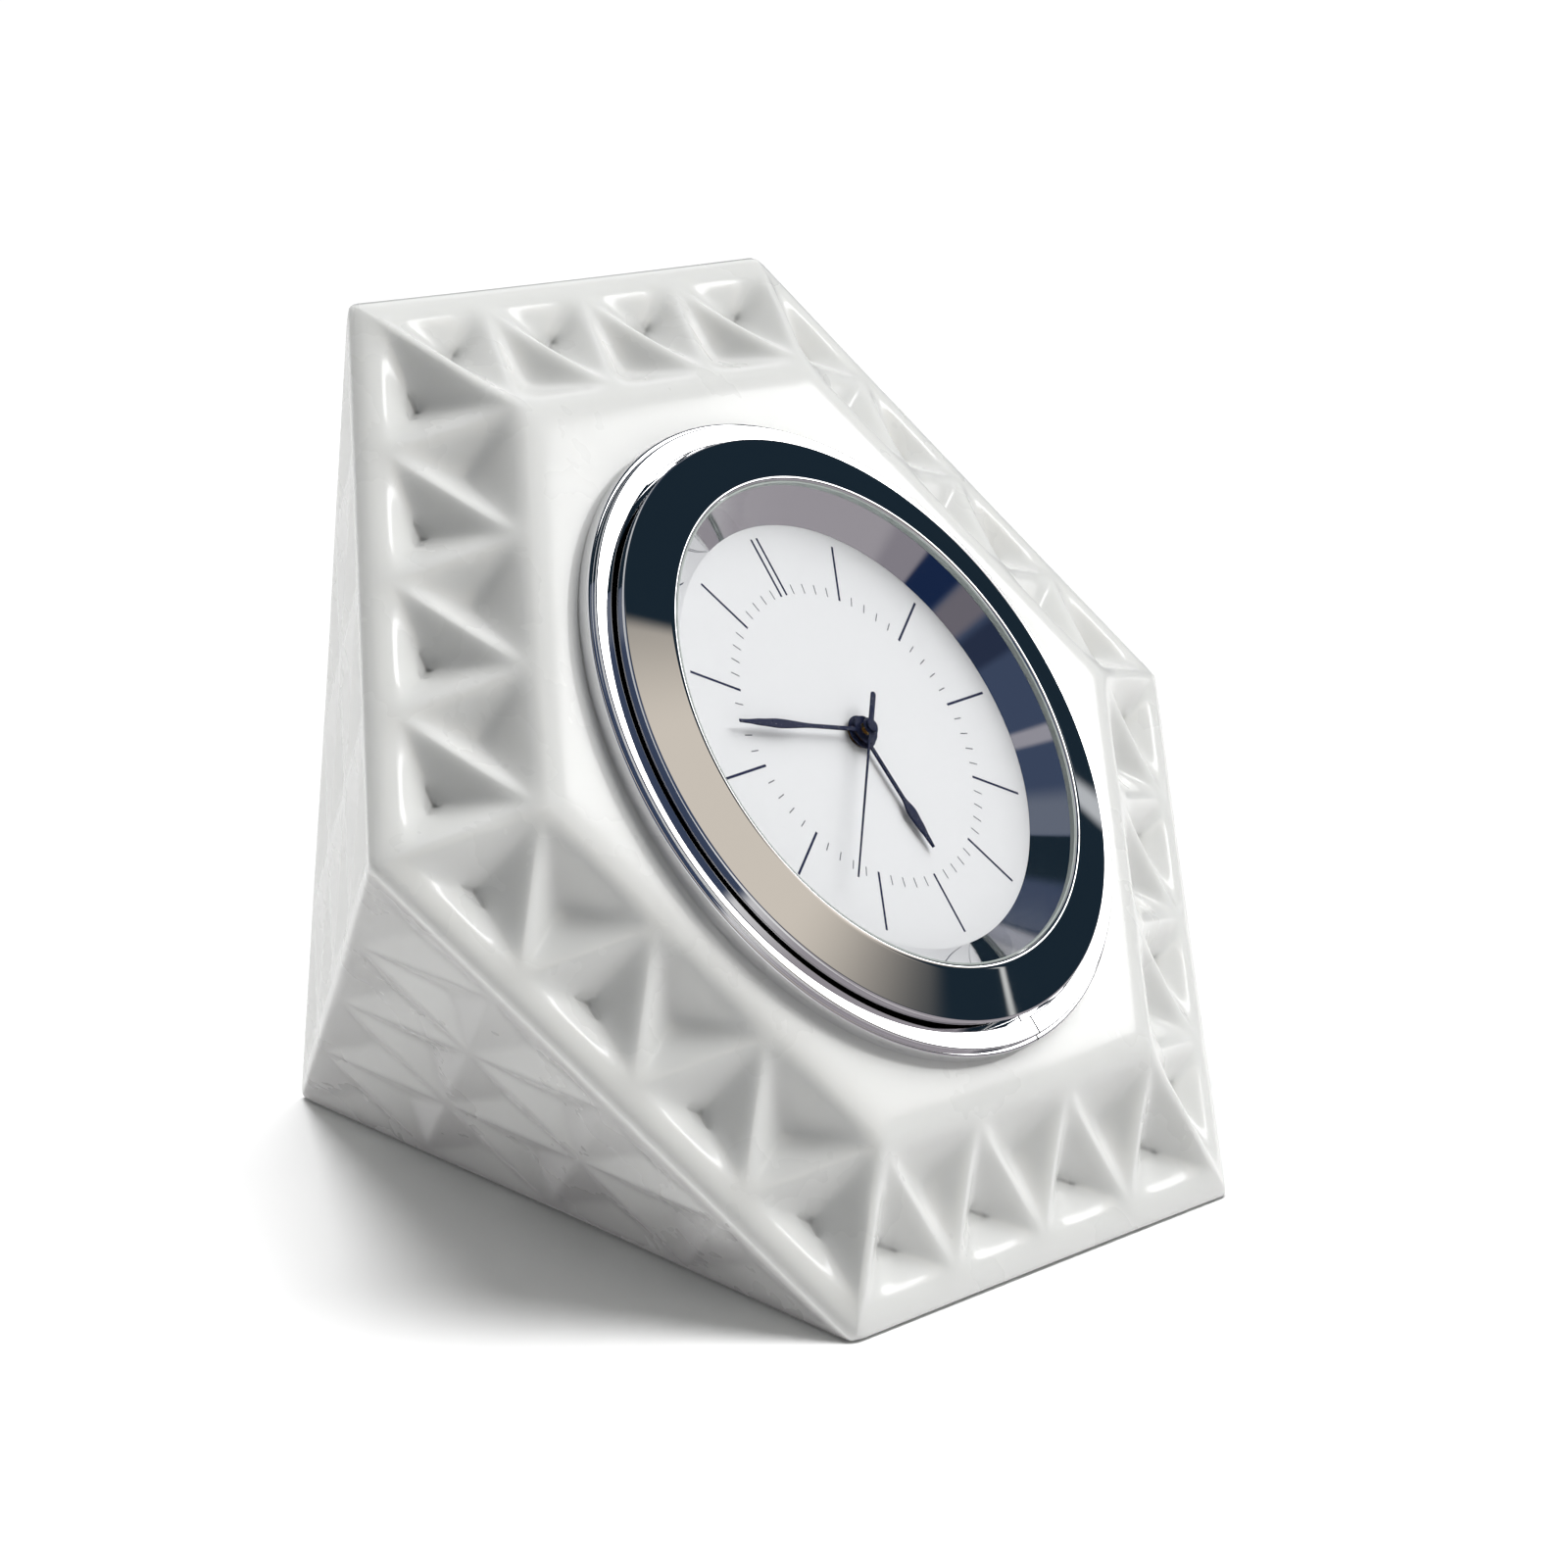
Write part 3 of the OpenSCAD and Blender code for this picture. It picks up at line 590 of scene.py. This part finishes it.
def lathe(profile, seg=LATHE_SEG, slit=None):
    """A ring from a closed (radius, height) profile, anticlockwise with the radius to the right.

    A slit, given as (clockwise angle from twelve, width in degrees), cuts the ring open there.
    """
    profile = held(profile)
    n = len(profile)
    start, sweep, rings = 0.0, 2 * math.pi, seg
    if slit:
        start = math.radians(90 - slit[0] + slit[1] / 2)
        sweep, rings = math.radians(360 - slit[1]), seg + 1
    points = []
    for k in range(rings):
        a = start + sweep * k / seg
        points += [(r * math.cos(a), r * math.sin(a), z) for r, z in profile]
    faces = []
    for k in range(seg):
        k2 = (k + 1) % rings
        for i in range(n):
            i2 = (i + 1) % n
            faces.append((k * n + i, k2 * n + i, k2 * n + i2, k * n + i2))
    if slit:
        faces.append(tuple(range(n)))
        faces.append(tuple(seg * n + i for i in range(n - 1, -1, -1)))
    return points, faces


def disc(r, low, top, edge, seg=LATHE_SEG):
    """A solid disc with a small rounded rim."""
    profile = arc(r - edge, low + edge, edge, -90, 0, 4) + arc(r - edge, top - edge, edge, 0, 90, 4)
    n = len(profile)
    points = []
    for k in range(seg):
        a = 2 * math.pi * k / seg
        points += [(q * math.cos(a), q * math.sin(a), z) for q, z in profile]
    points += [(0, 0, low), (0, 0, top)]
    faces = []
    for k in range(seg):
        k2 = (k + 1) % seg
        for i in range(n - 1):
            faces.append((k * n + i, k2 * n + i, k2 * n + i + 1, k * n + i + 1))
        faces.append((k * n, seg * n, k2 * n))
        faces.append((k * n + n - 1, k2 * n + n - 1, seg * n + 1))
    return points, faces


def turned(name, shape, material, body="insert", **options):
    """A piece from a shape in the insert frame, in the material of that name."""
    points, faces = shape
    return add_piece(name, from_insert(points), faces, MATERIALS[material], body, material, **options)


FLANGE_SLIT = (176.6, 0.45)    # where the rolled flange ring closes, just beside six
flange_profile = (
    [(29.65, -1.48), (36.3, -1.48)]          # underside
    + arc(36.3, -1.3, 0.18, -90, 0, 3)       # outer rim
    + arc(36.3, -0.02, 0.18, 0, 90, 4)
    + [(36.02, 0.16), (35.99, 0.20)]         # step
    + arc(35.85, 0.61, 0.14, 0, 90, 5)       # raised flat band
    + arc(34.05, 0.63, 0.12, 90, 180, 4)
    + [(33.93, -0.58), (29.65, -0.58)]       # groove round the bezel
)
flange_shape = lathe(flange_profile, slit=FLANGE_SLIT)
turned("flange_trim", flange_shape, "polished_chrome", replaces=("flange_ring",))

bezel_profile = (
    [(28.35, -0.58), (33.55, -0.58), (33.58, 1.85)]   # seat and outer wall
    + arc(33.28, 1.88, 0.30, 0, 73, 6)                # outer edge of the polished cone
    + arc(28.15, 2.14, 1.55, 73, 90, 5)
    + arc(28.12, 3.41, 0.28, 90, 180, 6)              # lip round the glass
    + [(27.84, 2.42), (28.35, 2.42)]                  # rebate for the glass
)
turned("bezel_trim", lathe(bezel_profile), "polished_chrome", replaces=("bezel",))
inner_profile = [
    (DIAL_R, 0.02), (28.1, 0.02), (28.1, 2.38), (27.80, 2.38), (27.80, 2.88), (27.76, 2.88),
]
turned("inner_trim", lathe(inner_profile), "polished_chrome", replaces=("inner_bezel",))
gasket_profile = [(27.62, 2.91), (27.82, 2.91), (27.82, 3.50), (27.62, 3.50)]
turned("seal", lathe(gasket_profile), "clear_gasket", replaces=("glass_gasket",))
turned("crystal", disc(27.60, 2.93, 3.52, 0.10), "dial_glass", replaces=("glass",))


# ---- Dial print ----
BLOCK_FACES = ((3, 2, 1, 0), (4, 5, 6, 7), (0, 1, 5, 4), (1, 2, 6, 5), (2, 3, 7, 6), (3, 0, 4, 7))


def bars(places, low=-0.05, top=0.012):
    """Upright blocks that stand on the dial and reach a little into it.

    Each place is (angle clockwise from twelve, sideways offset, inner radius, outer radius, width).
    """
    points, faces = [], []
    for angle, offset, r0, r1, width in places:
        a = math.radians(-angle)
        base = len(points)
        for z in (low, top):
            for x, y in ((-width / 2, r0), (width / 2, r0), (width / 2, r1), (-width / 2, r1)):
                x += offset
                turned_x = x * math.cos(a) - y * math.sin(a)
                turned_y = x * math.sin(a) + y * math.cos(a)
                points.append((turned_x, turned_y, z))
        faces += [tuple(base + i for i in f) for f in BLOCK_FACES]
    return points, faces


HOUR_IN, HOUR_OUT, HOUR_WIDTH = 16.4, 23.2, 0.28
TWELVE_GAP = 0.93
TICK_OUT, TICK_WIDTH = 17.5, 0.13
hour_places = [(30 * h, 0.0, HOUR_IN, HOUR_OUT, HOUR_WIDTH) for h in range(1, 12)]
hour_places += [(0, side * TWELVE_GAP / 2, HOUR_IN, HOUR_OUT, HOUR_WIDTH) for side in (-1, 1)]
tick_places = [(6 * m, 0.0, HOUR_IN, TICK_OUT, TICK_WIDTH) for m in range(60) if m % 5]
for name, places, print_name in (
    ("hour_marks", hour_places, "dial_print"),
    ("minute_marks", tick_places, "tick_print"),
):
    points, faces = bars(places)
    add_piece(name, from_insert(points), faces, MATERIALS[print_name], "insert", "blued_hands")


# ---- Hands ----
def hand_blade(stations, low, top, edge=0.05, crown=0.04):
    """A blade along +Y from (y, half width) stations, with bevelled edges and a low ridge."""
    points, faces = [], []
    for y, w in stations:
        e = min(edge, w * 0.4)
        ridge = top + crown * min(1.0, w)
        section = [
            (-w, low), (w, low), (w, top - e), (w - e, top), (0, ridge), (e - w, top), (-w, top - e),
        ]
        points += [(x, y, z) for x, z in section]
    n = len(section)
    for i in range(len(stations) - 1):
        for k in range(n):
            k2 = (k + 1) % n
            faces.append((i * n + k, i * n + k2, (i + 1) * n + k2, (i + 1) * n + k))
    faces.append(tuple(range(n - 1, -1, -1)))
    faces.append(tuple((len(stations) - 1) * n + k for k in range(n)))
    return points, faces


def joined(*shapes):
    """Several (points, faces) shapes as one."""
    points, faces = [], []
    for p, f in shapes:
        base = len(points)
        points += list(p)
        faces += [tuple(i + base for i in face) for face in f]
    return points, faces


def eased(y, knots):
    """Half width at y, blended smoothly between (y, half width) knots."""
    for (y0, w0), (y1, w1) in zip(knots, knots[1:]):
        if y <= y1:
            t = (y - y0) / (y1 - y0)
            return w0 + (w1 - w0) * (3 * t * t - 2 * t * t * t)
    return knots[-1][1]


def blade_stations(knots, steps=48):
    """(y, half width) at even steps along the knots."""
    first, last = knots[0][0], knots[-1][0]
    return [(y, eased(y, knots)) for y in np.linspace(first, last, steps)]


def hub(bore, r, low, top, edge=0.06):
    """A flat ring with a rounded upper rim, which holds a hand on its pipe or arbor."""
    rim = arc(r - edge, top - edge, edge, 0, 90, 4)
    return lathe([(bore, low), (r, low)] + rim + [(bore, top)], HUB_SEG)


HOUR_LEVEL = (0.44, 0.60)      # lowest and highest of each blade above the dial
MINUTE_LEVEL = (1.00, 1.14)
SECOND_LEVEL = (1.79, 1.89)
NEEDLE_EDGE = 0.03
TAIL, TAIL_HALF = 4.7, 0.34    # the second hand's counterweight
hour_knots = [(1.6, 0.275), (7.9, 0.275), (9.8, 0.75), (11.2, 0.60), (13.0, 0.30), (13.98, 0.19)]
minute_knots = [(1.2, 0.24), (7.8, 0.24), (13.1, 0.53), (15.5, 0.40), (17.7, 0.22), (18.78, 0.16)]
second_knots = [(0.6, 0.15), (19.98, 0.10)]
quarter_turn = [math.pi / 2 * t for t in np.linspace(0, 1, 9)]
tail_stations = [
    (-TAIL + TAIL_HALF * (1 - math.cos(a)), max(0.02, TAIL_HALF * math.sin(a))) for a in quarter_turn
] + [(-0.6, TAIL_HALF)]
hour_shape = joined(
    hand_blade(blade_stations(hour_knots), *HOUR_LEVEL),
    hub(1.2, 1.88, 0.43, 0.62),
)
minute_shape = joined(
    hand_blade(blade_stations(minute_knots), *MINUTE_LEVEL),
    hub(0.75, 1.58, 0.99, 1.18),
)
second_shape = joined(
    hand_blade(blade_stations(second_knots), *SECOND_LEVEL, edge=NEEDLE_EDGE),
    hand_blade(tail_stations, *SECOND_LEVEL, edge=NEEDLE_EDGE),
    hub(0.35, 0.98, 1.78, 1.93),
    disc(0.73, 1.91, 2.18, 0.08, HUB_SEG),
)
shown_minutes = (SHOWN_HOURS - math.floor(SHOWN_HOURS)) * 60
for body, angle, (points, faces) in (
    ("hour", SHOWN_HOURS * 30, hour_shape),
    ("minute", shown_minutes * 6, minute_shape),
    ("second", SHOWN_SECONDS * 6, second_shape),
):
    add_piece(
        body + "_pointer", from_insert(points, angle), faces, MATERIALS["blued_hands"], body,
        "blued_hands", replaces=(body + "_hand",),
    )

# ---- Camera ----
CAMERA_AT = (-0.41901, -0.33389, 0.15311)
CAMERA_FORWARD = (0.78113, 0.59141, -0.20016)
CAMERA_RIGHT = (0.60583, -0.79547, 0.01387)
camera_data = bpy.data.cameras.new("camera")
camera_data.sensor_width = 36.0
camera_data.lens = 117.83
camera_data.clip_start = 0.01
camera_data.clip_end = 100.0
camera = bpy.data.objects.new("camera", camera_data)
bpy.context.scene.collection.objects.link(camera)
back = -Vector(CAMERA_FORWARD).normalized()
right = Vector(CAMERA_RIGHT)
right = (right - back * right.dot(back)).normalized()
up = back.cross(right)
camera.matrix_world = Matrix((
    (right.x, up.x, back.x, CAMERA_AT[0]),
    (right.y, up.y, back.y, CAMERA_AT[1]),
    (right.z, up.z, back.z, CAMERA_AT[2]),
    (0, 0, 0, 1),
))
bpy.context.scene.camera = camera
bpy.context.scene.view_settings.view_transform = "Standard"


# ---- Studio ----
def direction(azimuth, elevation):
    """Unit vector. Azimuth 0 points to -Y, where the dial looks, and 90 to +X."""
    a, e = math.radians(azimuth), math.radians(elevation)
    return Vector((math.sin(a) * math.cos(e), -math.cos(a) * math.cos(e), math.sin(e)))


def far_light(name, azimuth, elevation, spread_deg, strength, receivers):
    """A large soft light far away. Mirrors see the studio pattern of the world instead of it."""
    data = bpy.data.lights.new(name, "SUN")
    data.angle = math.radians(spread_deg)
    data.energy = strength * math.pi
    light = bpy.data.objects.new(name, data)
    bpy.context.scene.collection.objects.link(light)
    light.rotation_mode = "QUATERNION"
    light.rotation_quaternion = direction(azimuth, elevation).to_track_quat("Z", "Y")
    light.light_linking.receiver_collection = receivers
    light.visible_glossy = False


FLOOR_REACH = 12.0    # metres from the clock to the floor's edges
floor_corners = [
    (x * FLOOR_REACH, y * FLOOR_REACH, 0) for x, y in ((-1, -1), (1, -1), (1, 1), (-1, 1))
]
floor_mesh = bpy.data.meshes.new("floor")
floor_mesh.from_pydata(floor_corners, [], [(0, 1, 2, 3)])
floor_mesh.materials.append(surface("floor_paper", (0.85, 0.85, 0.85), 0.8, vary=0.004, grain=30.0))
floor = bpy.data.objects.new("floor", floor_mesh)
bpy.context.scene.collection.objects.link(floor)
floor.visible_glossy = False   # mirrors see the lower half of the studio pattern instead

# One light falls on the floor only, so the clock's shadow stays short. The others fall on
# everything else. Each has an azimuth, an elevation, a spread in degrees and a strength.
only_floor = bpy.data.collections.new("only_floor")
all_but_floor = bpy.data.collections.new("all_but_floor")
only_floor.objects.link(floor)
all_but_floor.objects.link(floor)
all_but_floor.collection_objects[0].light_linking.link_state = "EXCLUDE"
far_light("table_light", -50, 77, 36, 1.27, only_floor)
far_light("top_light", 72, 45, 50, 1.3, all_but_floor)
far_light("back_light", 165, 45, 50, 0.4, all_but_floor)
far_light("side_light", -150, 25, 50, 0.22, all_but_floor)
far_light("front_light", 50, 5, 50, 0.1, all_but_floor)

BACKDROP = (1.0, 1.0, 1.0)
AROUND_LEAST = (0.03, 0.03, 0.03)      # the soft light from all round, where it is weakest
AROUND_MOST = (0.15, 0.15, 0.15)
STUDIO_DARK = (0.011, 0.022, 0.034)    # what mirrors see where no panel is
PAPER = (0.80, 0.80, 0.80)

# What mirrors see: (azimuth, half width, softness, elevation, half height, softness, colour).
# Angles are in degrees, and later panels lie on top of earlier ones.
PANELS = [
    (0, 360, 1, -50, 50, 0.5, PAPER),                          # the table
    (25, 55, 16, -30, 31, 3, (0.36, 0.335, 0.36)),             # grey card lying in front of the clock
    (150, 45, 15, -55, 32, 8, (0.10, 0.09, 0.10)),             # the shaded table behind the clock
    (-150, 70, 12, 38, 40, 6, (0.55, 0.56, 0.58)),             # white wall behind the clock
    (20, 21.5, 2, 36, 19, 9, (0.67, 0.61, 0.53)),              # warm wall in front
    (51, 9, 2, 27, 4, 2, (0.92, 0.84, 0.76)),                  # cream wall beside the softbox
    (66, 5.5, 2, 27.5, 5, 1.5, (5.0, 5.0, 5.0)),               # softbox that the flat rings mirror
    (66.4, 0.9, 0.5, 27.8, 0.9, 0.5, (1.0, 1.0, 1.0)),         # its darker middle
    (86.9, 1.3, 0.8, 7, 4, 2, (0.50, 0.52, 0.54)),             # slits of light between the dark screens
    (52.9, 0.5, 0.4, 9, 4, 2, (0.60, 0.61, 0.60)),
    (116, 7, 3, 24, 17, 4, (0.52, 0.52, 0.54)),
    (114, 7, 3, 44, 5, 3, (0.33, 0.335, 0.38)),
    (112, 9, 3, 62, 12, 3, (0.048, 0.066, 0.115)),
    (-45, 42, 8, 45, 47, 2, (0.05, 0.07, 0.125)),              # blue-grey room behind the camera
    (-45, 42, 8, 80, 8, 4, (0.14, 0.16, 0.21)),
    (-6, 9, 3, -2, 5, 2, (0.26, 0.24, 0.27)),
    (-21, 4, 2, 14, 4.5, 1.5, (0.16, 0.147, 0.172)),
    (-37, 4, 2, 53, 2.5, 1, (0.33, 0.32, 0.36)),
    (-12.5, 4.5, 1, 5, 5, 1, (0.010, 0.022, 0.066)),
    (-27, 5, 2, 24.5, 4.5, 1.5, (0.023, 0.033, 0.066)),
]


def build_world():
    """White to the camera, the panels to mirrors, and soft light from all round to the rest."""
    world = bpy.data.worlds.new("studio")
    bpy.context.scene.world = world
    world.use_nodes = True
    g = Graph(world.node_tree)
    toward = g.node("ShaderNodeTexCoord").outputs["Generated"]
    parts = g.node("ShaderNodeSeparateXYZ", Vector=toward)
    x, y, z = parts.outputs
    azimuth = g.math("DEGREES", g.math("ARCTAN2", x, g.math("MULTIPLY", y, -1.0)))
    elevation = g.math("DEGREES", g.math("ARCSINE", z))

    def blend(factor, below, above):
        mix = g.node("ShaderNodeMix", {"data_type": "RGBA"})
        g.feed(mix, "Factor", factor)
        for i, color in ((MIX_A, below), (MIX_B, above)):
            if isinstance(color, bpy.types.NodeSocket):
                g.tree.links.new(color, mix.inputs[i])
            else:
                mix.inputs[i].default_value = (*color, 1.0)
        return mix.outputs[MIX_RESULT]

    def window(value, centre, half, soft, wrap=False):
        off = g.math("SUBTRACT", value, float(centre))
        if wrap:
            off = g.math("WRAP", off, 180.0, -180.0)
        off = g.math("ABSOLUTE", off)
        inside = g.node("ShaderNodeMapRange", {"interpolation_type": "SMOOTHSTEP"}, Value=off)
        inside.inputs["From Min"].default_value = half - soft
        inside.inputs["From Max"].default_value = half + soft
        inside.inputs["To Min"].default_value = 1.0
        inside.inputs["To Max"].default_value = 0.0
        return inside.outputs[0]

    mirrored = STUDIO_DARK
    for az, az_half, az_soft, el, el_half, el_soft, color in PANELS:
        across = window(azimuth, az, az_half, az_soft, True)
        mask = g.math("MULTIPLY", across, window(elevation, el, el_half, el_soft))
        mirrored = blend(mask, mirrored, color)

    # Soft light from all round, stronger from behind and the right than from the left front.
    behind = g.math("ADD", g.math("MULTIPLY", x, 0.8), g.math("MULTIPLY", y, 0.6))
    sidelight = g.node("ShaderNodeMapRange", Value=behind)
    sidelight.inputs["From Min"].default_value = -1.0
    sidelight.inputs["From Max"].default_value = 1.0
    around = blend(sidelight.outputs[0], AROUND_LEAST, AROUND_MOST)
    rays = g.node("ShaderNodeLightPath")
    color = blend(rays.outputs["Is Glossy Ray"], around, mirrored)
    color = blend(rays.outputs["Is Camera Ray"], color, BACKDROP)
    background = g.node("ShaderNodeBackground", Color=color, Strength=1.0)
    output = g.node("ShaderNodeOutputWorld")
    g.feed(output, "Surface", background.outputs[0])


build_world()
